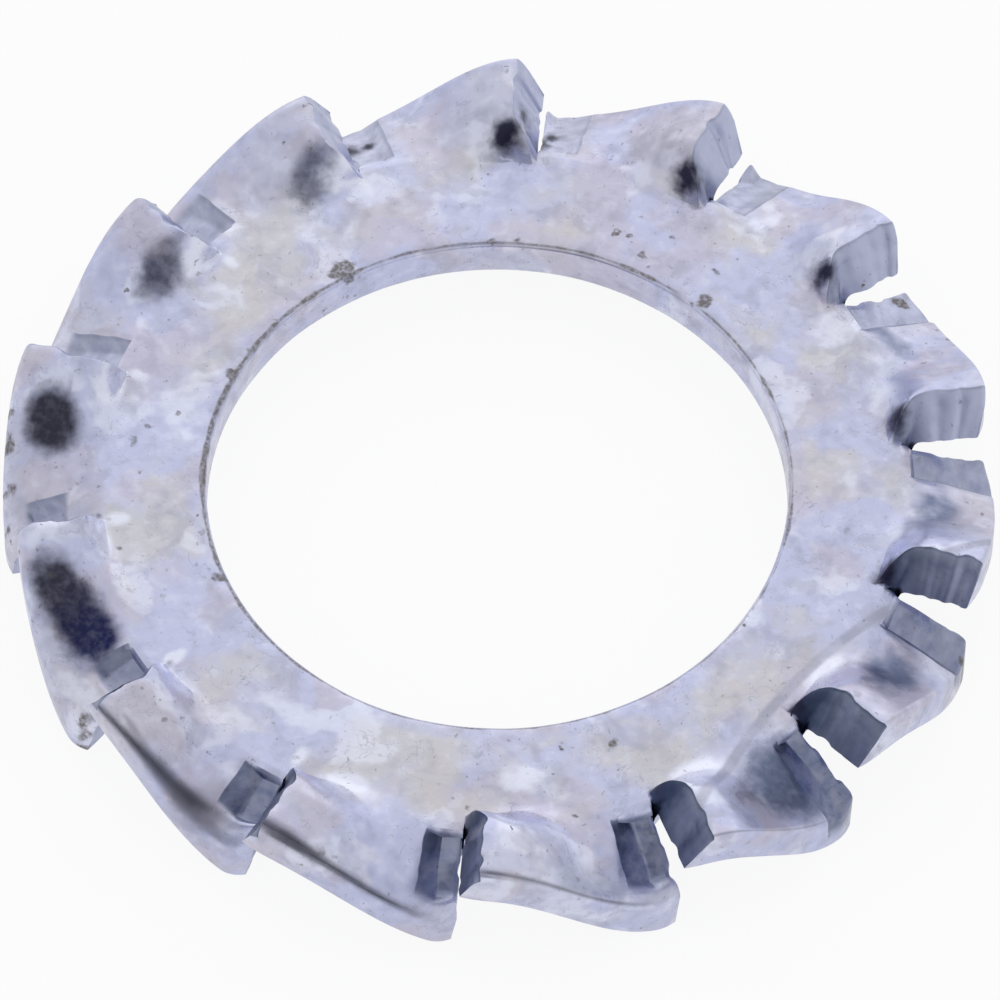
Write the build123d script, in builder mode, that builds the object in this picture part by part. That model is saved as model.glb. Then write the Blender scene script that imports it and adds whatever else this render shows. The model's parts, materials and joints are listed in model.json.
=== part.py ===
from build123d import *

import os
from math import cos, degrees, pi, sin, tan

os.makedirs("parts", exist_ok=True)

# External-tooth fan lock washer for an M8 screw, stamped from sheet steel, in millimetres.
# The origin is the centre of the bore, halfway through the sheet, and +Z is the screw's axis.

# The stamped ring
bore_diameter = 8.5
outside_diameter = 14.6
sheet = 0.7
bore_edge_radius = 0.1

# The fan of teeth, which slits part from one another
tooth_count = 14
slit_root_diameter = 11.2
slit_gap = 0.05

# The twist of a tooth: one end rises close to the root, the other falls all the way out to the rim
lift = 0.7
rise_length = 0.85
fall_start = 0.34
level_share = 0.16

# How far the raised end's face leans back, and how far the lowered end's face is undercut
end_lean = 0.35
end_undercut = 0.08

# The V that the cutting tool presses into the lowered end: its valley and its border are so far
# from the end, and it starts a little outside the root
border_width = 0.66
valley_width = 0.4
valley_depth = 0.18
end_depth = 0.1
stamp_start = 0.5

# How finely the twisted surface is drawn: along a tooth's root, and from one end to the other
bend_steps = 5
across_steps = 8

# The teeth are made a little too long, and are cut back to the outside diameter
overrun = 0.2

half_step = pi / tooth_count
flat_reach = slit_root_diameter / 2 * cos(half_step)
rim_reach = outside_diameter / 2
corner_reach = rim_reach * cos(half_step)


def tooth_end(reach):
    """How far the tooth's ends are from its middle, at a distance from the axis."""
    return reach * tan(half_step) - slit_gap / 2


def twist(across, reach):
    """Height of the twisted sheet's middle, level beside the slits and steep between them."""
    share = across / tooth_end(reach) / (1 - level_share)
    side = -lift * sin(pi / 2 * max(-1, min(1, share)))
    if side > 0:
        return side * ease((reach - flat_reach) / rise_length)
    fall = (reach - flat_reach - fall_start) / (corner_reach - flat_reach - fall_start)
    return side * max(0, min(1, fall))


def ease(share):
    """A smooth step from 0 to 1."""
    share = max(0, min(1, share))
    return share * share * (3 - 2 * share)


def spread(start, stop):
    """Even steps from one end of the tooth to the other."""
    return [start + (stop - start) * i / across_steps for i in range(across_steps + 1)]


def upper(across, reach, depth=0):
    """A point of the upper surface in a cross-section, or one below it."""
    return across, sheet / 2 + twist(across, reach) - depth


def section(reach):
    """The tooth's cross-section at a distance from the axis."""
    end = tooth_end(reach)
    bend = ease((reach - flat_reach) / rise_length)
    top = [upper(y, reach) for y in spread(end, end_lean * bend - end)]
    bottom = [upper(y, reach, sheet) for y in spread(-end, end - end_undercut * bend)]
    with BuildLine(Plane.YZ.offset(reach)) as profile:
        Spline(top)
        Line(top[-1], bottom[0])
        Spline(bottom)
        Line(bottom[-1], top[0])
    return make_face(profile.line).face()


def stamp(reach):
    """What the cutting tool presses away in the cross-section, and the room above it."""
    end = tooth_end(reach)
    border = upper(end - border_width, reach)
    valley = upper(end - valley_width, reach, valley_depth)
    lip = upper(end, reach, end_depth)
    with BuildLine(Plane.YZ.offset(reach)) as profile:
        Polyline(border, valley, lip, (end, lift), (border[0], lift), close=True)
    return make_face(profile.line).face()


# A tooth's cross-sections, from the flat ring out past the rim, and those of the V pressed into it
outer = [corner_reach, rim_reach + overrun]
bends = [flat_reach + rise_length * i / bend_steps for i in range(bend_steps + 1)]
sections = [section(reach) for reach in bends + outer]
stamps = [stamp(reach) for reach in [flat_reach + stamp_start] + outer]

with BuildPart() as tooth:
    loft(sections, ruled=True)
    loft(stamps, ruled=True, mode=Mode.SUBTRACT)
    with BuildSketch():
        Circle(rim_reach)
    extrude(amount=lift + sheet, both=True, mode=Mode.INTERSECT)

# The flat ring is a polygon outside, with one side for each tooth to grow from
with BuildPart() as lock_washer:
    with BuildSketch():
        RegularPolygon(slit_root_diameter / 2, tooth_count, rotation=degrees(half_step))
        Circle(bore_diameter / 2, mode=Mode.SUBTRACT)
    extrude(amount=sheet / 2, both=True)
    fillet(lock_washer.edges().filter_by(GeomType.CIRCLE), bore_edge_radius)
    with PolarLocations(0, tooth_count):
        add(tooth.part)

lock_washer.part.label = "lock_washer"
export_step(lock_washer.part, "parts/lock_washer.step")
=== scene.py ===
import json
import math

import bmesh
import bpy
from mathutils import Matrix, Vector, noise


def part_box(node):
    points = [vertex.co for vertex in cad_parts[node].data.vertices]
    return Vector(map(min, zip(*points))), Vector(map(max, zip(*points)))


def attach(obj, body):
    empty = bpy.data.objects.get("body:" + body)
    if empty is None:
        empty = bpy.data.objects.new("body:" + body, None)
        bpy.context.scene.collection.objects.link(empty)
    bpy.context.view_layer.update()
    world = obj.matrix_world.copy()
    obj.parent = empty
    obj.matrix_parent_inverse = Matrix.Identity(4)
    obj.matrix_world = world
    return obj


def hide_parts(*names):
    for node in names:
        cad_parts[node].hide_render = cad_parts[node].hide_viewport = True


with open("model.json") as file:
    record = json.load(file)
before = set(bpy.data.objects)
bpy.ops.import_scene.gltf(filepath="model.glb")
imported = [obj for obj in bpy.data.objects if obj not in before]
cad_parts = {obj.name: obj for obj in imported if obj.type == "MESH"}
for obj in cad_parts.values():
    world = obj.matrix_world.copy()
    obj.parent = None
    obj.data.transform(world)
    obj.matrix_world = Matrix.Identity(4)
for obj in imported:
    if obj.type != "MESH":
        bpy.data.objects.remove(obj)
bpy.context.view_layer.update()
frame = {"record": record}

mm = 0.001
print("frame loaded")


def mountNamed(name):
    return next(m for m in frame["record"]["mounts"] if m["name"] == name)


nodeLow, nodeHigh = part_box("lock_washer")
# the sheet, in mm; a tooth is measured across in shares of its width, from 0 at its lowered end to 1
# at its raised one
washer = {
    "boreRadius": mountNamed("bore")["dims"]["r_mm"],
    "rimRadius": nodeHigh.x / mm,
    "sheet": 2 * mountNamed("upper_face")["pos_m"][2] / mm,
    "boreRound": 0.1,
    "slitRoot": 5.93,
    "slitOpening": 0.25,  # how far out from its root a slit is fully open
    "slitGap": 0.03,
    "riseStart": 5.6,
    "riseEnd": 6.45,
    "closeRowsEnd": 6.5,
    "tearStart": 5.78,  # beside the slit, the raised end rises sooner than its middle does
    "tearEnd": 6.28,
    "tearShare": 0.72,
    "tearRun": 0.2,
    "fallPower": 1.15,
    "leanStart": 5.65,
    "leanEnd": 6.35,
    "leanLeast": 0.04,
    "ridgeRound": 0.035,
    "ridgeRoundLean": 0.3,  # the lean from which the ridge has its full rounding
    "flankSunk": 0.25,  # how far down the raised face its rounded top reaches
    "faceWall": 0.6,  # how much of the raised face is the slit's wall
    "loweredRound": 0.03,
    "undercut": 0.08,
    "lowerRidge": 0.93,  # the share below the ridge
    "rootLevelShare": 0.12,  # at the slit's root, this much beside the slit is level
    "stampStep": 0.012,
    "stampWall": 0.02,
    "stampFade": 0.28,
    "burrShare": 0.06,
    "burrStart": 6.7,
    "burrRun": 0.6,
    "pullIn": 0.05,
    "pullStart": 6.3,
    "pullRun": 0.9,
    "cornerShare": 0.13,
    "raisedCornerShare": 0.16,
    "thinRimRound": 0.06,
    "thickRimRound": 0.3,
    "thickRimAt": 195,  # in degrees
    "thickRimStart": 0.3125,  # the thick rim comes in by nearness to that side, 0 to 1
    "thickRimRun": 0.625,
    "lowerRimRound": 0.04,
    "ragged": 0.045,
    "raggedPitch": 3.6,
    "raggedApart": 3.7,  # how far apart in the noise two teeth are
    "raggedFine": {"pitch": 2.3, "size": 0.25},
    "slitRagged": 2,  # how much more or less than that other edges stray
    "borderRagged": 0.5,
    "footRagged": 1.5,
    "lumps": [{"pitch": 0.9, "size": 0.02}, {"pitch": 2.7, "size": 0.003}],
    "sharpAngle": 35,  # in degrees
    "mergeWithin": 1e-4,  # points this close are one
}
washer["lift"] = nodeHigh.z / mm - washer["sheet"] / 2
raggedSeeds = {"ridge": 1, "border": 2, "foot": 3, "loweredEnd": 4, "raisedEnd": 5}

# one row for each tooth, anticlockwise from +X: how far the slit after it is off its even place in
# degrees, where its slope crosses the ring's level and half the slope's run, its share of the full
# rise and fall, how far its raised face leans back, the border, valley, depths and start of the V
# pressed into it, its burr, how far the rim is pulled in at its lowered and raised ends, the radius
# where the V ends, and how far the rim's lowered and raised corners are cut back
toothKeys = ("slitShift", "cross", "run", "rise", "fall", "lean", "border", "valley",
             "valleyDepth", "endDepth", "stampStart", "burr", "pullLowered", "pullRaised", "stampEnd",
             "corner", "raisedCorner")
teeth = [
    (-1.0, 0.50, 0.42, 0.98, 0.95, 0.36, 0.23, 0.19, 0.14, 0.06, 6.10, 0.15, 0.02, 0.03, 7.60, 0.05, 0.08),
    (-0.8, 0.54, 0.42, 0.95, 0.90, 0.41, 0.22, 0.18, 0.12, 0.06, 6.10, 0.10, 0.02, 0.03, 7.60, 0.05, 0.14),
    (-0.8, 0.52, 0.42, 0.90, 0.95, 0.42, 0.22, 0.14, 0.07, 0.08, 6.10, 0.30, 0.02, 0.03, 7.60, 0.05, 0.20),
    (-0.5, 0.51, 0.42, 0.97, 0.95, 0.42, 0.22, 0.14, 0.07, 0.10, 6.10, 0.25, 0.02, 0.03, 7.60, 0.05, 0.28),
    (-0.3, 0.51, 0.42, 0.97, 0.95, 0.35, 0.22, 0.14, 0.10, 0.10, 6.15, 0.12, 0.02, 0.03, 7.60, 0.05, 0.18),
    (-1.1, 0.42, 0.50, 0.88, 0.87, 0.36, 0.22, 0.14, 0.12, 0.12, 6.12, 0.05, 0.02, 0.03, 7.00, 0.05, 0.05),
    (-1.5, 0.50, 0.42, 0.80, 0.95, 0.34, 0.22, 0.14, 0.12, 0.10, 5.95, 0.05, 0.02, 0.05, 6.95, 0.05, 0.05),
    (-0.7, 0.48, 0.42, 0.90, 0.95, 0.30, 0.22, 0.14, 0.14, 0.10, 6.36, 0.05, 0.06, 0.02, 6.93, 0.10, 0.03),
    (0.2, 0.46, 0.42, 0.95, 0.95, 0.30, 0.22, 0.14, 0.14, 0.12, 6.05, 0.05, 0.06, 0.22, 6.62, 0.20, 0.03),
    (0.4, 0.44, 0.44, 0.95, 0.95, 0.30, 0.24, 0.12, 0.17, 0.12, 6.05, 0.05, 0.16, 0.13, 6.80, 0.22, 0.03),
    (0.7, 0.39, 0.50, 0.88, 0.90, 0.25, 0.20, 0.11, 0.15, 0.10, 6.08, 0.02, 0.03, 0.04, 7.02, 0.18, 0.03),
    (1.2, 0.45, 0.42, 1.00, 1.00, 0.25, 0.24, 0.12, 0.16, 0.10, 6.08, 0.02, 0.03, 0.03, 7.02, 0.08, 0.03),
    (-0.1, 0.49, 0.42, 1.00, 0.98, 0.36, 0.22, 0.11, 0.12, 0.06, 6.05, 0.05, 0.03, 0.03, 7.60, 0.10, 0.03),
    (0.0, 0.49, 0.42, 1.00, 1.00, 0.42, 0.24, 0.19, 0.16, 0.08, 6.15, 0.08, 0.03, 0.03, 7.60, 0.05, 0.05),
]
teeth = [dict(zip(toothKeys, row)) for row in teeth]

# each tooth's finish and painted light: how pale its raised cut face is, its own tone together with painted
# shade on the faces turned to the front, how pale the V pressed into it, how dark the painted shade in the
# hollow beside its raised end is and where that lies (share and radius), the painted highlights at its slit
# and at the foot of its rise, with the radius there, and how much painted shade darkens the cut face at its
# root, or how strong a painted highlight that root gets where the number is below 0
finishAndShadingKeys = ("faceTone", "stampTone", "pitTone", "pitShare", "pitRadius",
              "slitGlint", "footGlint", "footRadius", "rootDark")
finishesAndShading = [
    (0.48, 0.54, 0.9, 0.95, 5.86, 0.2, 0.5, 5.80, 0.35),
    (1.05, 0.75, 0.9, 0.90, 5.92, 0.2, 0.6, 5.80, 0.5),
    (1.00, 0.80, 1.0, 0.85, 5.97, 0.3, 0.4, 5.80, 0.3),
    (1.10, 0.92, 1.0, 0.86, 5.98, 0.3, 0.2, 5.90, 0.5),
    (1.20, 0.85, 1.12, 0.82, 6.02, 0.6, 0.1, 5.60, 0.3),
    (1.20, 0.70, 0.0, 0.74, 6.02, 0.8, 0.0, 5.60, -1.0),
    (1.15, 0.66, 0.0, 0.66, 6.10, 0.8, 0.0, 5.60, -1.0),
    (1.00, 0.56, 0.0, 0.60, 6.10, 1.0, 0.0, 5.60, -1.0),
    (0.90, 0.48, 0.0, 0.60, 6.10, 1.0, 0.0, 5.60, -1.0),
    (0.50, 0.28, 0.0, 0.60, 6.10, 1.0, 0.3, 5.50, -0.9),
    (0.38, 0.32, 0.0, 0.90, 5.95, 0.2, 0.9, 5.70, 0.3),
    (0.35, 0.28, 0.3, 0.93, 5.95, 0.2, 0.9, 5.15, 0.3),
    (0.32, 0.26, 0.6, 0.95, 5.90, 0.2, 1.0, 5.80, 0.4),
    (0.28, 0.38, 0.9, 0.97, 5.86, 0.2, 0.9, 5.75, 0.4),
]
finishesAndShading = [dict(zip(finishAndShadingKeys, row)) for row in finishesAndShading]

# the columns and rows of the mesh at which an edge's rounding or a crease begins
grid = {
    "loweredRound": 2,
    "valley": 8,
    "stampStep": 13,
    "border": 14,
    "ridge": 30,
    "flank": 34,
    "columns": 37,
    "boreRound": 4,
    "riseStart": 14,
    "slitRoot": 24,
    "stampStart": 27,
    "riseEnd": 35,
    "rimRound": 51,
    "rows": 59,
    "wallCuts": 5,
}


def ease(x):
    x = max(0.0, min(1.0, x))
    return x * x * (3 - 2 * x)


def between(stops, at):
    for (a, low), (b, high) in zip(stops, stops[1:]):
        if at <= b:
            return low + (high - low) * (at - a) / (b - a)
    return stops[-1][1]


# how far in from a wall a rounded edge's step lies, and how far it has dropped there
def rounded(step, count, size):
    turn = math.pi / 2 * min(1.0, step / count)
    return size * (1 - math.cos(turn)), size * (1 - math.sin(turn))


def slitAngle(i):
    turns, i = divmod(i, len(teeth))
    return math.radians((i + 0.5) * 360 / len(teeth) + teeth[i]["slitShift"] + 360 * turns)


def rimRound(angle):
    near = math.cos((angle - math.radians(washer["thickRimAt"])) / 2) ** 2
    thick = ease((near - washer["thickRimStart"]) / washer["thickRimRun"])
    return washer["thinRimRound"] + (washer["thickRimRound"] - washer["thinRimRound"]) * thick


# how far one of a tooth's edges strays from its line, in mm
def ragged(edge, tooth, radius):
    at = Vector((raggedSeeds[edge], washer["raggedApart"] * tooth, washer["raggedPitch"] * radius))
    fine = washer["raggedFine"]
    return washer["ragged"] * (noise.noise(at) + fine["size"] * noise.noise(fine["pitch"] * at))


def bump(x, middle, width):
    return math.exp(-((x - middle) / width) ** 2)


# 0 at the root of the slits and 1 where they are fully open
def opened(radius):
    return ease((radius - washer["slitRoot"]) / washer["slitOpening"])


# height of the sheet's middle
def twist(tooth, share, radius):
    shape = teeth[tooth]
    side = math.sin(math.pi / 2 * max(-1.0, min(1.0, (share - shape["cross"]) / shape["run"])))
    if side > 0:
        bend = ease((radius - washer["riseStart"]) / (washer["riseEnd"] - washer["riseStart"]))
        torn = max(0.0, min(1.0, (radius - washer["tearStart"]) / (washer["tearEnd"] - washer["tearStart"])))
        bend += (1 - (1 - torn) ** 2 - bend) * ease((share - washer["tearShare"]) / washer["tearRun"])
        bend *= shape["rise"]
    else:
        out = max(0.0, (radius - washer["slitRoot"]) / (washer["rimRadius"] - washer["slitRoot"]))
        bend = shape["fall"] * out ** washer["fallPower"]
    return washer["lift"] * bend * side


# a row's radius and how far the bore's or the rim's rounding has dropped there
def rowPlace(tooth, row, edge):
    if row <= grid["boreRound"]:
        reach, drop = rounded(row, grid["boreRound"], washer["boreRound"])
        return washer["boreRadius"] + reach, drop
    if row >= grid["rimRound"]:
        reach, drop = rounded(grid["rows"] - row, grid["rows"] - grid["rimRound"], edge)
        return washer["rimRadius"] - reach, drop
    return between([(grid["boreRound"], washer["boreRadius"] + washer["boreRound"]),
                    (grid["riseStart"], washer["riseStart"]),
                    (grid["slitRoot"], washer["slitRoot"]),
                    (grid["stampStart"], teeth[tooth]["stampStart"]),
                    (grid["riseEnd"], washer["closeRowsEnd"]),
                    (grid["rimRound"], washer["rimRadius"] - edge)], row), 0.0


# how far a slit's edge lies from the slit's middle
def slitEdge(edge, tooth, radius):
    return washer["slitGap"] / 2 + max(0.0, washer["slitRagged"] * ragged(edge, tooth, radius))


# 0 where the V is pressed in at full depth and 1 beyond its end
def stampFade(tooth, radius):
    return ease((radius - teeth[tooth]["stampEnd"]) / washer["stampFade"] + 0.5)


# a column's share of the way across the tooth, and its height, on the upper surface
def upperPlace(tooth, column, row, radius, width, drop):
    shape = teeth[tooth]
    free = opened(radius)
    gap = slitEdge("loweredEnd", tooth, radius) * free
    far = slitEdge("raisedEnd", tooth, radius) * free
    top = washer["sheet"] / 2 - drop
    leaning = ease((radius - washer["leanStart"]) / (washer["leanEnd"] - washer["leanStart"]))
    lean = washer["leanLeast"] + (shape["lean"] + ragged("ridge", tooth, radius)) * leaning
    ridge = 1 - (far + lean) / width
    crest = ridge - washer["ridgeRound"] / width * min(1.0, lean / washer["ridgeRoundLean"])
    border = shape["border"] + washer["borderRagged"] * ragged("border", tooth, radius) / width
    stampStep = border - washer["stampWall"] / width
    if column <= grid["ridge"]:
        share = between([(0, gap / width),
                         (grid["loweredRound"], (gap + washer["loweredRound"]) / width),
                         (grid["valley"], shape["valley"]),
                         (grid["stampStep"], stampStep),
                         (grid["border"], border),
                         (grid["ridge"], crest)], column)
        height = twist(tooth, share, radius) + top
        if row >= grid["stampStart"] and column < grid["border"]:
            plain = height
            step = twist(tooth, stampStep, radius) + top - washer["stampStep"]
            valley = twist(tooth, shape["valley"], radius) + top - shape["valleyDepth"]
            end = twist(tooth, 0, radius) + top - shape["endDepth"]
            if column >= grid["valley"]:
                height = valley + (step - valley) * (share - shape["valley"]) / (stampStep - shape["valley"])
            else:
                height = end + (valley - end) * share / shape["valley"]
                atRim = ease((radius - washer["burrStart"]) / washer["burrRun"])
                height += shape["burr"] * ease(1 - share / washer["burrShare"]) * atRim
            height += (plain - height) * stampFade(tooth, radius)
        if radius > washer["slitRoot"] and column < grid["loweredRound"]:
            height -= rounded(column, grid["loweredRound"], washer["loweredRound"])[1] * free
        return share, height
    ridgeHeight = twist(tooth, ridge, radius) + top
    footHeight = twist(tooth, 1, radius) - top + washer["footRagged"] * ragged("foot", tooth, radius)
    foot = top * (1 - free) + footHeight * free
    sunk = washer["flankSunk"]
    if column <= grid["flank"]:
        along = (column - grid["ridge"]) / (grid["flank"] - grid["ridge"])
        low = (ridge + (1 - ridge) * sunk, ridgeHeight + (foot - ridgeHeight) * sunk)
        high = (crest, twist(tooth, crest, radius) + top)
        weights = ((1 - along) ** 2, 2 * along * (1 - along), along ** 2)
        curve = (high, (ridge, ridgeHeight), low)
        return tuple(sum(w * p[i] for w, p in zip(weights, curve)) for i in (0, 1))
    last = 1 - washer["faceWall"] * free
    sunk += (last - sunk) * (column - grid["flank"]) / (grid["columns"] - grid["flank"])
    return ridge + (1 - far / width - ridge) * sunk, ridgeHeight + (foot - ridgeHeight) * sunk


# the same on the lower surface
def lowerPlace(tooth, column, radius, width, drop):
    free = opened(radius)
    gap = slitEdge("loweredEnd", tooth, radius) * free
    far = slitEdge("raisedEnd", tooth, radius) * free
    share = between([(0, (gap + washer["undercut"] * free) / width),
                     (grid["border"], teeth[tooth]["border"]),
                     (grid["ridge"], washer["lowerRidge"]),
                     (grid["columns"], 1 - far / width)], column)
    height = twist(tooth, share, radius)
    height *= 1 - (1 - free) * ease(1 - (1 - share) / washer["rootLevelShare"])
    return share, height - washer["sheet"] / 2 + drop


# where dirt has settled: its middle and its reach in mm, and its strength
soilSpots = [
    ((2.75, 3.50), 0.13, 1.0), ((1.89, 4.03), 0.07, 0.8), ((2.16, 4.60), 0.06, 0.8),
    ((1.67, 4.95), 0.08, 0.7), ((-2.65, 3.55), 0.20, 1.0), ((-2.34, 3.90), 0.08, 0.7),
    ((-0.50, 4.31), 0.08, 0.9), ((-0.13, 4.36), 0.06, 0.7), ((-4.09, 1.52), 0.12, 1.0),
    ((-3.87, 2.00), 0.09, 0.8), ((-3.86, -2.08), 0.12, 0.8), ((3.80, -2.16), 0.06, 0.8),
    ((-5.35, -1.75), 0.10, 0.7), ((2.06, -4.40), 0.12, 0.5), ((4.25, -2.35), 0.12, 0.4),
    ((-5.40, 0.20), 0.12, 0.6), ((-5.24, -0.37), 0.13, 0.6), ((4.95, -2.40), 0.07, 0.6),
    ((-7.20, 0.45), 0.10, 0.7), ((-7.20, 0.05), 0.14, 0.8), ((-7.18, -0.50), 0.18, 0.6),
    ((-7.10, -1.05), 0.12, 0.6), ((-5.59, -4.28), 0.16, 0.7), ((6.95, -1.95), 0.12, 0.6),
    ((-0.12, 6.15), 0.10, 0.7), ((-2.80, 6.12), 0.12, 0.5), ((5.62, 4.15), 0.14, 0.9),
    ((1.56, 4.59), 0.05, 0.8), ((1.79, 4.26), 0.09, 1.0), ((2.84, 4.05), 0.08, 0.9),
    ((2.47, 4.51), 0.06, 0.7), ((2.05, 4.87), 0.06, 0.6),
]


# the same for dark spots in the slits, drawn in the near-black of the hollows' painted shade
slitDarkSpots = [
    ((-0.02, 6.34), 0.24, 1.1), ((-0.12, 6.20), 0.12, 0.6), ((0.22, 6.50), 0.15, 1.0),
    ((0.36, 6.58), 0.10, 0.6), ((-2.78, 6.06), 0.20, 0.8), ((-2.52, 6.16), 0.11, 0.95),
    ((-5.86, -1.16), 0.07, 0.55), ((-5.72, -1.15), 0.06, 0.55), ((-5.58, -1.20), 0.05, 0.4),
    ((-4.41, -3.62), 0.07, 0.45), ((-4.26, -3.68), 0.05, 0.35), ((-5.84, 1.17), 0.06, 0.45),
    ((-5.73, 1.24), 0.06, 0.45),
]


# painted reflections: dark patches on the slopes where they mirror dark surroundings and neighbouring teeth:
# middle, turn in degrees, half lengths, depth, and tone, from 0 for navy to 1 for slate
darkReflections = [
    {"at": (-5.62, -3.15), "turn": -53, "reach": (0.48, 0.40), "depth": 1.0, "tone": 0.0},
    {"at": (-5.88, -2.88), "turn": -53, "reach": (0.50, 0.42), "depth": 0.95, "tone": 0.25},
    {"at": (-6.18, -2.60), "turn": -35, "reach": (0.46, 0.36), "depth": 0.85, "tone": 0.5},
    {"at": (-6.58, 0.33), "turn": 0, "reach": (0.40, 0.42), "depth": 1.0, "tone": 0.5},
    {"at": (-5.30, 3.13), "turn": 60, "reach": (0.46, 0.34), "depth": 0.68, "tone": 0.62},
    {"at": (-3.22, 5.06), "turn": 70, "reach": (0.46, 0.32), "depth": 0.56, "tone": 0.66},
    {"at": (5.95, -2.80), "turn": -80, "reach": (0.50, 0.40), "depth": 0.75, "tone": 1.0},
    {"at": (6.42, 0.15), "turn": 0, "reach": (0.34, 0.32), "depth": 0.65, "tone": 0.95},
    {"at": (5.52, 3.16), "turn": -41, "reach": (0.52, 0.20), "depth": 0.55, "tone": 0.95},
    {"at": (4.56, -4.68), "turn": -60, "reach": (0.60, 0.60), "depth": 0.95, "tone": 0.82},
]


# where the marks of the finish, the painted highlights and the painted shade lie and how far they reach: in
# mm, in shares of a tooth's width, or in columns or rows of the mesh
marking = {
    "slitGlint": {"reach": 0.11, "radius": 5.6, "run": 0.22},
    "footGlint": {"share": 0.66, "reach": 0.17, "run": 0.26},
    "rootPale": {"share": 0.68, "run": 0.1, "radius": 5.9, "reach": 0.18},
    "rootDark": {"radius": 6.05, "run": 0.28},
    "ridgeDark": {"tone": 0.25, "columns": 0.6},
    "torn": {"start": 0.12, "run": 0.12},
    "pit": {"share": 0.1, "run": 0.2},
    "slope": {"share": 0.3, "radius": 5.8, "run": 0.4},
    "stainEnd": 1.55,
    "stainFade": 1.15,
    "rimLineRows": 1.2,
    "rimLineWide": {"lowered": 1.4, "share": 0.78, "reach": 0.14},
    "rimLineStart": 0.3,
}


# how deep in a patch a place lies, from 0 outside to 1
def within(spot, patch):
    turn = math.radians(patch["turn"])
    x, y = spot.x - patch["at"][0], spot.y - patch["at"][1]
    along = (x * math.cos(turn) + y * math.sin(turn)) / patch["reach"][0]
    across = (y * math.cos(turn) - x * math.sin(turn)) / patch["reach"][1]
    return ease((marking["stainEnd"] - math.hypot(along, across)) / marking["stainFade"])


# how strong the strongest of some round spots is at a place
def spotted(spot, places):
    return max(size * bump(math.dist(spot.xy, at), 0, reach) for at, reach, size in places)


# painted shade: the dark line in the crease along a tooth's rim: its strength, its rows out from where the
# rim's rounding begins at the lowered and raised ends, and how many rows wider it is there
rimShadeLines = {
    9: {"strength": 1.0, "lowered": -1.6, "raised": 7.2, "wideLowered": 3.4, "wideRaised": 0},
    10: {"strength": 1.0, "lowered": 6.2, "raised": 2.4, "wideLowered": 0, "wideRaised": 1.2},
    11: {"strength": 0.7, "lowered": 3.2, "raised": 2.8, "wideLowered": 0, "wideRaised": 0},
    12: {"strength": 0.4, "lowered": 4.0, "raised": 3.0, "wideLowered": 0, "wideRaised": 0},
}


def rimLine(tooth, share, row):
    line = rimShadeLines.get(tooth)
    if not line:
        return 0.0
    wide = marking["rimLineWide"]
    width = marking["rimLineRows"] + line["wideLowered"] * ease(wide["lowered"] - 2 * share)
    width += line["wideRaised"] * bump(share, wide["share"], wide["reach"])
    middle = line["lowered"] + (line["raised"] - line["lowered"]) * share
    started = ease(4 * share - marking["rimLineStart"])
    return line["strength"] * bump(row - grid["rimRound"], middle, width) * started


# what the material reads at a point of the sheet
def finishAndShadingMarks(tooth, column, row, side, share, radius, width):
    toothFinishAndShading = finishesAndShading[tooth]
    atSlit = toothFinishAndShading if share < 0.5 else finishesAndShading[tooth - 1]
    fromSlit = min(share, 1 - share) * width
    # painted highlights: beside each slit's root, at the foot of each rise, and on the root of some raised
    # ends
    mark = marking["slitGlint"]
    slitGlint = bump(fromSlit, 0, mark["reach"]) * bump(radius, mark["radius"], mark["run"])
    mark = marking["footGlint"]
    footGlint = bump(share, mark["share"], mark["reach"]) * bump(radius, toothFinishAndShading["footRadius"], mark["run"])
    mark = marking["rootPale"]
    rootPale = max(0.0, -toothFinishAndShading["rootDark"]) * ease((share - mark["share"]) / mark["run"])
    rootPale *= bump(radius, mark["radius"], mark["reach"])
    cut = row > grid["slitRoot"] if column in (0, grid["columns"]) else True
    torn = ease((radius - washer["leanStart"] - marking["torn"]["start"]) / marking["torn"]["run"])
    stamped = side > 0 and row >= grid["stampStart"] and column < grid["border"]
    # painted shade: the hollow beside each raised end's root is darkened
    mark = marking["pit"]
    pit = bump(share, toothFinishAndShading["pitShare"], mark["share"]) * bump(radius, toothFinishAndShading["pitRadius"], mark["run"])
    # painted shade: a dark line just under the ridge and a darker root of the cut face; a negative root
    # number gives a painted highlight there instead
    mark = marking["ridgeDark"]
    ridgeDark = mark["tone"] * bump(column, grid["ridge"] + 1, mark["columns"])
    rootDark = toothFinishAndShading["rootDark"] * bump(radius, marking["rootDark"]["radius"], marking["rootDark"]["run"])
    mark = marking["slope"]
    slope = bump(share, teeth[tooth]["cross"], mark["share"]) * ease((radius - mark["radius"]) / mark["run"])
    return {
        "torn": (column > grid["ridge"] and cut) * torn * (1 - rootPale),
        "stamped": stamped * (1 - stampFade(tooth, radius)),
        "pit": toothFinishAndShading["pitTone"] * pit,
        "faceTone": toothFinishAndShading["faceTone"] - rootDark - ridgeDark,
        "stampTone": toothFinishAndShading["stampTone"],
        "glint": max(atSlit["slitGlint"] * slitGlint, toothFinishAndShading["footGlint"] * footGlint, rootPale),
        "slope": slope * (side > 0),
        "rimLine": rimLine(tooth, share, row) * (side > 0),
    }


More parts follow.
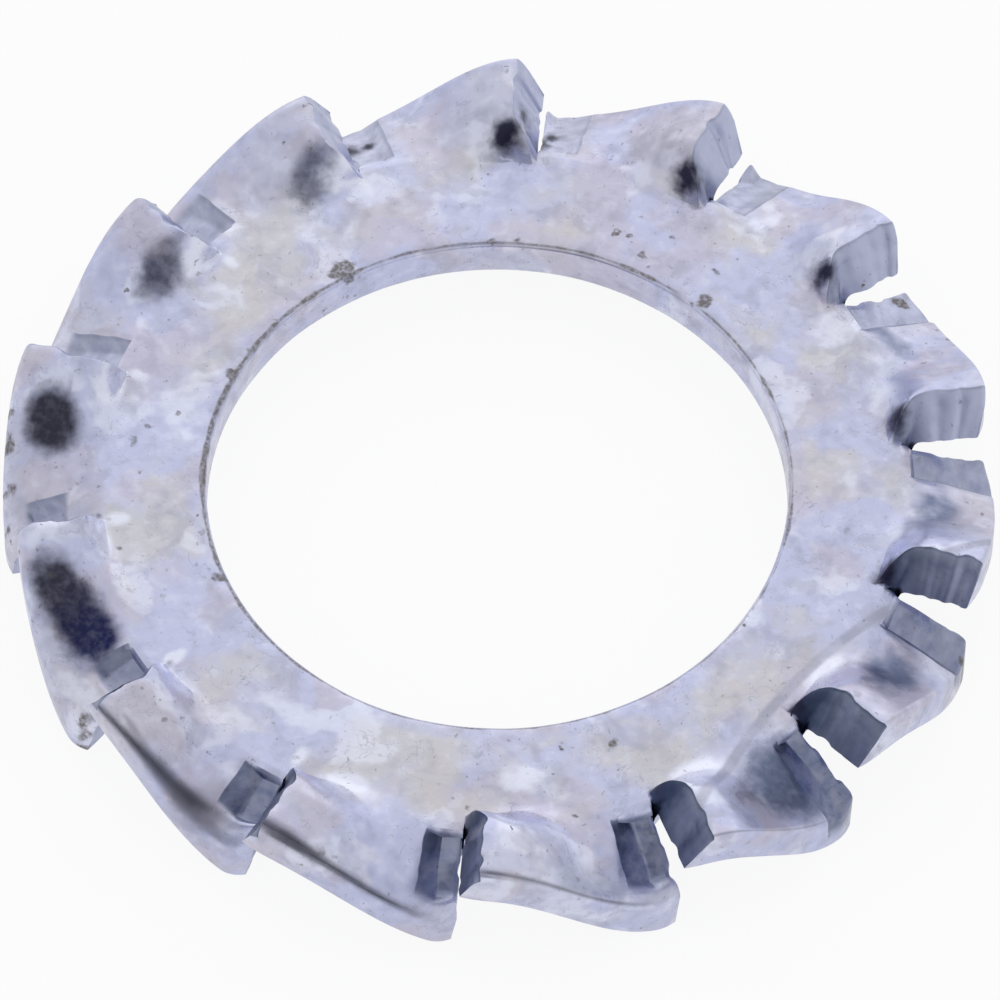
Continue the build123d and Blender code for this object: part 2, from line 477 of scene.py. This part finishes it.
# a point of the sheet and its marks: side is 1 on the upper surface and -1 on the lower one
def place(tooth, column, row, side):
    low, high = slitAngle(tooth), slitAngle(tooth - 1)
    edge = rimRound(low - (low - high) * column / grid["columns"]) if side > 0 else washer["lowerRimRound"]
    radius, drop = rowPlace(tooth, row, edge)
    width = (low - high) * radius
    if side > 0:
        share, height = upperPlace(tooth, column, row, radius, width, drop)
    else:
        share, height = lowerPlace(tooth, column, radius, width, drop)
    angle = low - share * (low - high)
    shape = teeth[tooth]
    pull = shape["pullLowered"] + (shape["pullRaised"] - shape["pullLowered"]) * share
    pull += washer["pullIn"] * abs(2 * share - 1) ** 3
    pull += shape["corner"] * max(0.0, 1 - share / washer["cornerShare"]) ** 2
    pull += shape["raisedCorner"] * max(0.0, 1 - (1 - share) / washer["raisedCornerShare"]) ** 2
    marks = finishAndShadingMarks(tooth, column, row, side, share, radius, width)
    radius -= pull * ease((radius - washer["pullStart"]) / washer["pullRun"])
    spot = Vector((radius * math.cos(angle), radius * math.sin(angle), height))
    spot.z += sum(lump["size"] * noise.noise(spot * lump["pitch"]) for lump in washer["lumps"])
    marks["soil"] = (side > 0 or row > grid["rimRound"]) * spotted(spot, soilSpots)
    # the hollows' painted shade, together with the dark spots at the slits
    marks["pit"] = (side > 0) * max(marks["pit"], spotted(spot, slitDarkSpots))
    # painted reflections on the upper surface, with their tone
    weights = [(side > 0) * patch["depth"] * within(spot, patch) for patch in darkReflections]
    marks["stain"] = max(weights)
    marks["stainTone"] = sum(w * patch["tone"] for w, patch in zip(weights, darkReflections)) / max(sum(weights), 0.01)
    return spot, marks


def makeSheet():
    bm = bmesh.new()
    places = ("tooth", "column", "row", "side")
    marks = ("torn", "stamped", "pit", "faceTone", "stampTone", "glint", "slope", "rimLine",
             "soil", "stain", "stainTone")
    layer = {name: bm.verts.layers.float.new(name) for name in places + marks}

    def settle(verts):
        for v in verts:
            at = [round(v[layer[name]]) for name in places]
            spot, marks = place(*at)
            v.co = spot * mm
            for name, mark in marks.items():
                v[layer[name]] = mark

    for tooth in range(len(teeth)):
        flat = bmesh.ops.create_grid(bm, x_segments=grid["columns"], y_segments=grid["rows"], size=0.5)
        for v in flat["verts"]:
            v[layer["tooth"]] = tooth
            v[layer["column"]] = round((v.co.x + 0.5) * grid["columns"])
            v[layer["row"]] = round((v.co.y + 0.5) * grid["rows"])
            v[layer["side"]] = 1
    settle(bm.verts)
    bmesh.ops.remove_doubles(bm, verts=bm.verts[:], dist=washer["mergeWithin"] * mm)
    made = bmesh.ops.extrude_face_region(bm, geom=bm.faces[:])
    lower = [v for v in made["geom"] if isinstance(v, bmesh.types.BMVert)]
    for v in lower:
        v[layer["side"]] = -1
    settle(lower)
    walls = [e for e in bm.edges if abs(e.verts[0][layer["side"]] - e.verts[1][layer["side"]]) > 1]
    bmesh.ops.subdivide_edges(bm, edges=walls, cuts=grid["wallCuts"], use_grid_fill=True)
    bmesh.ops.recalc_face_normals(bm, faces=bm.faces[:])
    print("open edges", sum(not e.is_manifold for e in bm.edges), "volume", bm.calc_volume(signed=True))
    mesh = bpy.data.meshes.new("lockWasher")
    bm.to_mesh(mesh)
    bm.free()
    for p in mesh.polygons:
        p.use_smooth = True
    mesh.set_sharp_from_angle(angle=math.radians(washer["sharpAngle"]))
    piece = bpy.data.objects.new("lockWasher", mesh)
    bpy.context.scene.collection.objects.link(piece)
    return piece


# the zinc's own colours, and the painted highlights, painted shade and painted reflections drawn on it
platingAndShading = {
    "zinc": (0.565, 0.59, 0.80),
    "pale": (0.83, 0.86, 1.0),
    "cream": (0.64, 0.62, 0.60),
    "blush": (0.58, 0.52, 0.60),
    "dull": (0.36, 0.37, 0.47),
    "soil": (0.13, 0.115, 0.095),
    "cut": (0.075, 0.10, 0.17),
    "cutPale": (0.50, 0.53, 0.70),
    "stamped": (0.07, 0.10, 0.20),
    "stampedPale": (0.58, 0.60, 0.77),
    # slate, navy and char are colours of the painted shade and painted reflections
    "slate": (0.17, 0.21, 0.34),
    "navy": (0.02, 0.024, 0.085),
    "char": (0.05, 0.05, 0.075),
    # the near-black of the painted shade in the hollows beside the raised ends
    "pit": (0.03, 0.03, 0.06),
    "smooth": 0.17,
    "rough": 0.5,
    "relief": 0.004,
    "warp": 1.1,
    # the zinc's patches, one over the other: a colour, a cloud, where in it the patch begins and is
    # full, and its strength
    "patches": [
        {"colour": "blush", "cloud": "blush", "ramp": (0.48, 0.62), "strength": 0.5},
        {"colour": "cream", "cloud": "cream", "ramp": (0.44, 0.62), "strength": 0.25, "onRing": 0.4},
        {"colour": "pale", "cloud": "pale", "ramp": (0.55, 0.64), "strength": 0.5},
        {"colour": "dull", "cloud": "dull", "ramp": (0.52, 0.66), "strength": 0.35},
    ],
    "ring": {"inner": (4.45, 4.6), "outer": (6.2, 5.7)},
    "mottle": {"dull": (0.5, 0.72), "dullStrength": 0.25, "pale": (0.46, 0.3), "paleStrength": 0.22},
    "cracks": {"line": (0.014, 0.003), "where": (0.5, 0.6), "strength": 0.4},
    "glint": {"stray": 1.2, "ramp": (0.2, 0.8), "edge": (0.02, 0.35), "strength": 0.8},
    "scratch": {"centre": (11.13, -7.63, 0), "radius": 7.96, "width": 0.085, "depth": 0.75,
                "sides": (1.4, 0.5), "worn": (0.38, 0.6), "unworn": 0.55},
    "fray": 0.2,
    "pits": [
        {"cells": (3.4, 0.5, 3.0), "clustered": True, "strength": 1.0},
        {"cells": (7.5, 0.6, 5.0), "clustered": True, "strength": 0.6},
        {"cells": (12.0, 0.55, 11.0), "clustered": False, "strength": 0.6},
    ],
    "pitted": {"clusters": (0.47, 0.62), "elsewhere": (0.35, 0.55), "edge": (0.06, -0.04)},
    "settled": {"stray": 1.3, "ramp": (0.35, 0.6), "edge": (0.1, 0.3)},
    # the dark line where the bore's rounding meets the upper surface, thicker to one side
    "boreLine": {"radius": 4.31, "toward": (-1.0, 0.1, 0.0), "thin": (4.2, 1.5), "thinBy": 0.022,
                 "middle": 0.54, "stray": 0.1, "ramp": (0.045, 0.01), "side": (0.6, 0.9), "strength": 0.95},
    "dirtShows": {"ramp": (0.35, 0.6), "grain": 0.4, "least": 0.45},
    # painted shade line along the rim
    "rimLine": {"ramp": (0.15, 0.35), "strength": 0.9},
    "burnt": {"stray": 0.8, "ramp": (0.05, 0.95), "edge": (0.0, 0.25), "grain": (0.4, 0.7),
              "grainStrength": 0.07, "navyToChar": (0.0, 0.5), "charToSlate": (0.5, 1.0)},
    "pressed": {"stretch": (1.0, 1.0, 3.0), "stray": 0.7, "planeDark": 0.05, "line": (2.6, 1.2),
                "lineDark": 0.22, "dull": (0.45, 0.62), "dullStrength": 0.35, "edge": (0.15, 0.85)},
    "cutFace": {"row": (0.5, 1.0), "rim": (0.5, 0.6), "side": (0.99, 0.97), "edge": (0.3, 0.8),
                "toothApart": 5.0, "lined": 0.2, "stray": 0.5},
    "hollow": {"stray": 0.9, "ramp": (0.15, 0.95), "edge": (0.02, 0.2)},
    "haze": {"ramp": (0.35, 0.7), "mottle": 0.5, "rough": 0.4, "slope": 0.7},
    "heights": {"lumps": 1.6, "mottle": 0.9, "grain": 0.22, "scratch": 0.4},
    # the cloudy noises: features 1 / pitch mm apart, detail, and a seed that moves them
    "clouds": {
        "drift": (1.3, 3, 4.0),
        "mottle": (4.2, 4, 9.0),
        "grain": (17, 3, 2.0),
        "blush": (0.8, 2, 31.0),
        "cream": (0.55, 4, 12.0),
        "pale": (0.95, 2, 20.0),
        "dull": (1.4, 3, 45.0),
        "cracks": (2.6, 3, 7.0),
        "cracked": (1.1, 2, 60.0),
        "wear": (1.6, 4, 26.0),
        "fray": (8.0, 2, 8.0),
        "clusters": (0.85, 2, 70.0),
        "boreLine": (2.6, 4, 15.0),
        "burnt": (4.5, 4, 77.0),
        "burntGrain": (9.0, 3, 52.0),
        "streaks": (3.4, 4, 33.0),
        "shear": (9.0, 3, 1.0),
        "cutFace": (3.0, 4, 22.0),
        "hollow": (5.0, 3, 41.0),
        "lumps": (1.9, 3, 50.0),
    },
}


# short names for the nodes of a material
class Nodes:
    def __init__(self, tree):
        self.tree = tree

    def add(self, kind, **given):
        node = self.tree.nodes.new("ShaderNode" + kind)
        for name, value in given.items():
            setattr(node, name, value)
        return node

    def link(self, value, socket):
        if isinstance(value, bpy.types.NodeSocket):
            self.tree.links.new(value, socket)
        else:
            socket.default_value = value

    def math(self, operation, a, b=0.5, clamp=False):
        node = self.add("Math", operation=operation, use_clamp=clamp)
        self.link(a, node.inputs[0])
        self.link(b, node.inputs[1])
        return node.outputs[0]

    def plus(self, a, b, clamp=False):
        return self.math("ADD", a, b, clamp)

    def minus(self, a, b, clamp=False):
        return self.math("SUBTRACT", a, b, clamp)

    def times(self, *values):
        product = values[0]
        for value in values[1:]:
            product = self.math("MULTIPLY", product, value)
        return product

    def largest(self, *values):
        most = values[0]
        for value in values[1:]:
            most = self.math("MAXIMUM", most, value)
        return most

    # a value that a cloud takes up and down by up to about half of size
    def stray(self, value, cloud, size, middle=0.5, clamp=False):
        return self.plus(value, self.times(self.minus(cloud, middle), size), clamp)

    def vector(self, operation, a, b):
        node = self.add("VectorMath", operation=operation)
        self.link(a, node.inputs[0])
        self.link(b, node.inputs[1])
        return node.outputs[0]

    # a number from one or two vectors
    def measure(self, operation, a, b=None):
        node = self.add("VectorMath", operation=operation)
        self.link(a, node.inputs[0])
        if b is not None:
            self.link(b, node.inputs[1])
        return node.outputs["Value"]

    # 0 below low, 1 above high and smooth between
    def rampTo(self, value, low, high):
        node = self.add("MapRange", interpolation_type="SMOOTHSTEP")
        self.link(value, node.inputs[0])
        node.inputs[1].default_value = low
        node.inputs[2].default_value = high
        return node.outputs[0]

    def mix(self, share, a, b):
        node = self.add("Mix", data_type="RGBA")
        self.link(share, node.inputs[0])
        for value, socket in ((a, node.inputs[6]), (b, node.inputs[7])):
            self.link((*value, 1) if isinstance(value, tuple) else value, socket)
        return node.outputs[2]

    def mark(self, name):
        return self.add("Attribute", attribute_name=name).outputs["Fac"]

    # one of the plating's cloudy noises
    def cloud(self, spot, name, output="Fac"):
        pitch, detail, seed = platingAndShading["clouds"][name]
        node = self.add("TexNoise")
        self.link(self.vector("ADD", spot, (seed, 2.3 * seed, -1.7 * seed)), node.inputs["Vector"])
        node.inputs["Scale"].default_value = pitch
        node.inputs["Detail"].default_value = detail
        return node.outputs[output]

    # a cloud that moves each place by up to about half of size
    def shifted(self, spot, name, size):
        shift = self.vector("SUBTRACT", self.cloud(spot, name, "Color"), (0.5, 0.5, 0.5))
        return self.vector("ADD", spot, self.vector("MULTIPLY", shift, (size, size, size)))

    # small round pits, 1 / pitch mm apart and up to size across
    def pits(self, spot, pitch, size, seed):
        cells = self.add("TexVoronoi")
        self.link(self.vector("ADD", spot, (seed, seed, seed)), cells.inputs["Vector"])
        cells.inputs["Scale"].default_value = pitch
        chance = self.minus(self.times(cells.outputs["Color"], size), size * 0.5)
        return self.rampTo(self.minus(cells.outputs["Distance"], chance), *platingAndShading["pitted"]["edge"])


# patches and cracks of the zinc, and painted highlights: pale spots beside the slit roots and at the feet of
# the rises
def zincColour(n, spot, warped, radius, mottle):
    ring = n.times(n.rampTo(radius, *platingAndShading["ring"]["inner"]), n.rampTo(radius, *platingAndShading["ring"]["outer"]))
    colour = platingAndShading["zinc"]
    for patch in platingAndShading["patches"]:
        strength = patch["strength"]
        if "onRing" in patch:
            strength = n.plus(n.times(ring, patch["onRing"]), strength)
        shown = n.times(n.rampTo(n.cloud(warped, patch["cloud"]), *patch["ramp"]), strength)
        colour = n.mix(shown, colour, platingAndShading[patch["colour"]])
    look = platingAndShading["mottle"]
    colour = n.mix(n.times(n.rampTo(mottle, *look["dull"]), look["dullStrength"]), colour, platingAndShading["dull"])
    colour = n.mix(n.times(n.rampTo(mottle, *look["pale"]), look["paleStrength"]), colour, platingAndShading["pale"])
    look = platingAndShading["cracks"]
    wiggle = n.math("ABSOLUTE", n.minus(n.cloud(warped, "cracks"), 0.5))
    cracks = n.times(n.rampTo(wiggle, *look["line"]), n.rampTo(n.cloud(spot, "cracked"), *look["where"]))
    colour = n.mix(n.times(cracks, look["strength"]), colour, platingAndShading["dull"])
    # painted highlight: the glint mark lightens the zinc towards pale
    look = platingAndShading["glint"]
    glint = n.rampTo(n.stray(n.mark("glint"), mottle, look["stray"]), *look["ramp"])
    glint = n.times(glint, n.rampTo(n.mark("glint"), *look["edge"]), look["strength"])
    return n.mix(glint, colour, platingAndShading["pale"])


# how deep the scratch is at a place
def scratchDepth(n, spot, flat, mottle, upper):
    scratch = platingAndShading["scratch"]
    width = scratch["width"]
    off = n.math("ABSOLUTE", n.minus(n.measure("DISTANCE", flat, scratch["centre"]), scratch["radius"]))
    off = n.stray(off, mottle, width / 2)
    worn = n.times(n.rampTo(n.cloud(spot, "wear"), *scratch["worn"]), 1 - scratch["unworn"])
    line = n.rampTo(off, width * scratch["sides"][0], width * scratch["sides"][1])
    return n.times(line, n.plus(worn, scratch["unworn"]), scratch["depth"], upper)


# how much dirt lies at a place: pits, what has settled and the line round the bore
def dirtDepth(n, spot, flat, radius, mottle, side):
    frayed = n.shifted(spot, "fray", platingAndShading["fray"])
    clusters = n.rampTo(n.cloud(spot, "clusters"), *platingAndShading["pitted"]["clusters"])
    elsewhere = n.rampTo(mottle, *platingAndShading["pitted"]["elsewhere"])
    pits = []
    for pit in platingAndShading["pits"]:
        where = clusters if pit["clustered"] else elsewhere
        pits.append(n.times(n.pits(frayed, *pit["cells"]), where, pit["strength"]))
    look = platingAndShading["settled"]
    soil = n.rampTo(n.stray(n.mark("soil"), mottle, look["stray"]), *look["ramp"])
    soil = n.times(soil, n.rampTo(n.mark("soil"), *look["edge"]))
    look = platingAndShading["boreLine"]
    away = n.rampTo(n.measure("DOT_PRODUCT", flat, look["toward"]), *look["thin"])
    edge = n.math("ABSOLUTE", n.minus(radius, look["radius"]))
    edge = n.plus(edge, n.times(away, look["thinBy"]))
    edge = n.stray(edge, n.cloud(spot, "boreLine"), look["stray"], look["middle"])
    edge = n.times(n.rampTo(edge, *look["ramp"]), n.rampTo(side, *look["side"]), look["strength"])
    return n.largest(*pits, soil, edge)


# painted shade: the dark lines along the rim; and painted reflections: the dark patches on the slopes
def paintShadeAndReflections(n, colour, spot, mottle):
    look = platingAndShading["rimLine"]
    line = n.times(n.mark("rimLine"), n.rampTo(mottle, *look["ramp"]), look["strength"])
    colour = n.mix(line, colour, platingAndShading["char"])
    # painted reflections: dark patches from navy to slate
    look = platingAndShading["burnt"]
    burnt = n.rampTo(n.stray(n.mark("stain"), n.cloud(spot, "burnt"), look["stray"]), *look["ramp"])
    grain = n.times(n.rampTo(n.cloud(spot, "burntGrain"), *look["grain"]), look["grainStrength"])
    burnt = n.times(burnt, n.rampTo(n.mark("stain"), *look["edge"]), n.minus(1.0, grain))
    tone = n.mark("stainTone")
    dark = n.mix(n.rampTo(tone, *look["navyToChar"]), platingAndShading["navy"], platingAndShading["char"])
    dark = n.mix(n.rampTo(tone, *look["charToSlate"]), dark, platingAndShading["slate"])
    return n.mix(burnt, colour, dark)


# the V pressed into each lowered end, streaked, with painted shade on its plane next to the border and a
# painted shade line along its border
def pressIn(n, colour, spot, column, mottle):
    look = platingAndShading["pressed"]
    streaks = n.cloud(n.vector("MULTIPLY", spot, look["stretch"]), "streaks")
    tone = n.stray(n.mark("stampTone"), streaks, look["stray"], clamp=True)
    plane = n.rampTo(column, grid["valley"] - 0.5, grid["valley"] + 0.5)
    tone = n.minus(tone, n.times(plane, look["planeDark"]), True)
    line = n.rampTo(column, grid["border"] - look["line"][0], grid["border"] - look["line"][1])
    pressed = n.mix(tone, platingAndShading["stamped"], platingAndShading["stampedPale"])
    pressed = n.mix(n.times(line, look["lineDark"]), pressed, platingAndShading["stamped"])
    pressed = n.mix(n.times(n.rampTo(mottle, *look["dull"]), look["dullStrength"]), pressed, platingAndShading["dull"])
    return n.mix(n.rampTo(n.mark("stamped"), *look["edge"]), colour, pressed)


# where the raised ends' torn faces and the walls of the slits are
def tornShare(n, row, side, upper):
    look = platingAndShading["cutFace"]
    inside = n.times(n.rampTo(row, grid["slitRoot"] + look["row"][0], grid["slitRoot"] + look["row"][1]),
                     n.rampTo(row, grid["rows"] - look["rim"][0], grid["rows"] - look["rim"][1]))
    wall = n.times(n.rampTo(n.math("ABSOLUTE", side), *look["side"]), inside)
    return n.largest(n.times(n.rampTo(n.mark("torn"), *look["edge"]), upper), wall)


# the cut faces' colour, lined across the sheet; its tone holds painted shade too, on the faces turned to the
# front, under the ridge and at the root
def cutColour(n, spot, radius):
    look = platingAndShading["cutFace"]
    lined = n.add("CombineXYZ")
    n.link(radius, lined.inputs[0])
    n.link(n.times(n.mark("tooth"), look["toothApart"]), lined.inputs[1])
    tone = n.stray(n.mark("faceTone"), n.cloud(lined.outputs[0], "shear"), look["lined"])
    tone = n.stray(tone, n.cloud(spot, "cutFace"), look["stray"], clamp=True)
    return n.mix(tone, platingAndShading["cut"], platingAndShading["cutPale"])


def makePlatingAndShading():
    material = bpy.data.materials.new("zincPlate")
    material.use_nodes = True
    shader = material.node_tree.nodes["Principled BSDF"]
    n = Nodes(material.node_tree)
    spot = n.vector("MULTIPLY", n.add("TexCoord").outputs["Object"], (1 / mm, 1 / mm, 1 / mm))
    flat = n.vector("MULTIPLY", spot, (1, 1, 0))
    radius = n.measure("LENGTH", flat)
    warped = n.shifted(spot, "drift", platingAndShading["warp"])
    mottle = n.cloud(spot, "mottle")
    grain = n.cloud(spot, "grain")
    column, row, side = n.mark("column"), n.mark("row"), n.mark("side")
    upper = n.rampTo(side, 0.9, 0.95)

    colour = zincColour(n, spot, warped, radius, mottle)
    scratch = scratchDepth(n, spot, flat, mottle, upper)
    colour = n.mix(scratch, colour, platingAndShading["dull"])
    colour = paintShadeAndReflections(n, colour, spot, mottle)
    colour = pressIn(n, colour, spot, column, mottle)
    torn = tornShare(n, row, side, upper)
    colour = n.mix(torn, colour, cutColour(n, spot, radius))
    dirt = dirtDepth(n, spot, flat, radius, mottle, side)
    look = platingAndShading["dirtShows"]
    dirtShows = n.plus(n.times(n.rampTo(grain, *look["ramp"]), look["grain"]), look["least"])
    colour = n.mix(n.times(dirt, dirtShows), colour, platingAndShading["soil"])
    # painted shade in the hollows beside the raised ends, and the dark spots at the slits
    look = platingAndShading["hollow"]
    hollow = n.rampTo(n.stray(n.mark("pit"), n.cloud(spot, "hollow"), look["stray"]), *look["ramp"])
    colour = n.mix(n.times(hollow, n.rampTo(n.mark("pit"), *look["edge"])), colour, platingAndShading["pit"])
    n.link(colour, shader.inputs["Base Color"])
    shader.inputs["Metallic"].default_value = 1

    look = platingAndShading["haze"]
    haze = n.times(n.rampTo(mottle, *look["ramp"]), look["mottle"])
    haze = n.plus(haze, n.times(n.largest(dirt, torn), look["rough"]))
    haze = n.plus(haze, n.times(n.mark("slope"), look["slope"]))
    rough = n.add("MapRange")
    n.link(haze, rough.inputs[0])
    rough.inputs[3].default_value, rough.inputs[4].default_value = platingAndShading["smooth"], platingAndShading["rough"]
    n.link(rough.outputs[0], shader.inputs["Roughness"])

    look = platingAndShading["heights"]
    height = n.plus(n.times(n.cloud(warped, "lumps"), look["lumps"]), n.times(mottle, look["mottle"]))
    height = n.plus(height, n.times(grain, look["grain"]))
    height = n.minus(height, n.times(scratch, look["scratch"]))
    relief = n.add("Bump")
    relief.inputs["Strength"].default_value = 1
    relief.inputs["Distance"].default_value = platingAndShading["relief"] * mm
    n.link(height, relief.inputs["Height"])
    n.link(relief.outputs[0], shader.inputs["Normal"])
    return material


piece = makeSheet()
piece.data.materials.append(makePlatingAndShading())
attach(piece, "root")
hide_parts("lock_washer")
print("washer made,", len(piece.data.polygons), "faces")


studio = {
    "floorSize": 400,
    "floorSides": 64,
    "floorColour": (0.95, 0.95, 0.95, 1),
    "worldStrength": 1.0,
    "dark": (0.03, 0.035, 0.08),
    "floorGlow": 0.9,
    "floorSeen": 0.6,
    "sweep": {"toward": (0.0, 1.0, 0.15), "edge": 0.45, "core": 0.98, "low": 0.82, "high": 1.12},
    "cards": [
        {"toward": (0.09, -0.52, 0.85), "edge": 0.93, "core": 0.965, "depth": 0.5},
        {"toward": (-0.25, -0.97, -0.05), "edge": 0.72, "core": 0.97, "depth": 0.6},
    ],
}


def makeFloor():
    bm = bmesh.new()
    reach = studio["floorSize"] * mm / 2
    bmesh.ops.create_circle(bm, cap_ends=True, segments=studio["floorSides"], radius=reach)
    bmesh.ops.translate(bm, verts=bm.verts[:], vec=(0, 0, nodeLow.z))
    mesh = bpy.data.meshes.new("floor")
    bm.to_mesh(mesh)
    bm.free()
    floor = bpy.data.objects.new("floor", mesh)
    bpy.context.scene.collection.objects.link(floor)
    material = bpy.data.materials.new("floorWhite")
    material.use_nodes = True
    nodes, links = material.node_tree.nodes, material.node_tree.links
    nodes.clear()
    out = nodes.new("ShaderNodeOutputMaterial")
    mix = nodes.new("ShaderNodeMixShader")
    matt = nodes.new("ShaderNodeBsdfDiffuse")
    matt.inputs["Color"].default_value = studio["floorColour"]
    glow = nodes.new("ShaderNodeEmission")
    glow.inputs["Color"].default_value = (1, 1, 1, 1)
    path = nodes.new("ShaderNodeLightPath")
    n = Nodes(material.node_tree)
    mirrored = n.largest(path.outputs["Is Glossy Ray"], path.outputs["Is Transmission Ray"])
    seen = n.largest(n.times(path.outputs["Is Camera Ray"], studio["floorGlow"]),
                     n.times(mirrored, studio["floorSeen"]))
    links.new(seen, mix.inputs[0])
    links.new(matt.outputs[0], mix.inputs[1])
    links.new(glow.outputs[0], mix.inputs[2])
    links.new(mix.outputs[0], out.inputs[0])
    mesh.materials.append(material)


def makeWorld():
    world = bpy.data.worlds.new("lightTent")
    bpy.context.scene.world = world
    world.use_nodes = True
    n = Nodes(world.node_tree)
    toward = n.add("TexCoord").outputs["Generated"]

    def cone(card):
        near = n.measure("DOT_PRODUCT", toward, Vector(card["toward"]).normalized())
        return n.rampTo(near, card["edge"], card["core"])

    light = 1.0
    for card in studio["cards"]:
        light = n.times(light, n.minus(1.0, n.times(cone(card), card["depth"])))
    sweep = studio["sweep"]
    glow = n.plus(sweep["low"], n.times(cone(sweep), sweep["high"] - sweep["low"]))
    background = world.node_tree.nodes["Background"]
    n.link(n.mix(light, studio["dark"], (1.0, 1.0, 1.0)), background.inputs[0])
    n.link(n.times(glow, studio["worldStrength"]), background.inputs[1])


camera = {
    "distance": 150,
    "turn": 4.97,
    "height": 55.67,
    "roll": 0.4,
    "lens": 369.2,
    "shift": (0.0026, -0.005),
    "clip": (0.01, 10),
}
turned = Matrix.Rotation(math.radians(camera["turn"]), 4, "Z")
tilted = Matrix.Rotation(math.radians(90 - camera["height"]), 4, "X")
rolled = Matrix.Rotation(math.radians(camera["roll"]), 4, "Z")
aimed = turned @ tilted @ rolled
cameraBack = (aimed @ Vector((0, 0, 1, 0))).to_3d()

lens = bpy.data.cameras.new("camera")
lens.lens = camera["lens"]
lens.shift_x, lens.shift_y = camera["shift"]
lens.clip_start, lens.clip_end = camera["clip"]
looker = bpy.data.objects.new("camera", lens)
looker.matrix_world = Matrix.Translation(cameraBack * camera["distance"] * mm) @ aimed
bpy.context.scene.collection.objects.link(looker)
bpy.context.scene.camera = looker
makeFloor()
makeWorld()
bpy.context.scene.view_settings.view_transform = "Standard"
print("studio made")
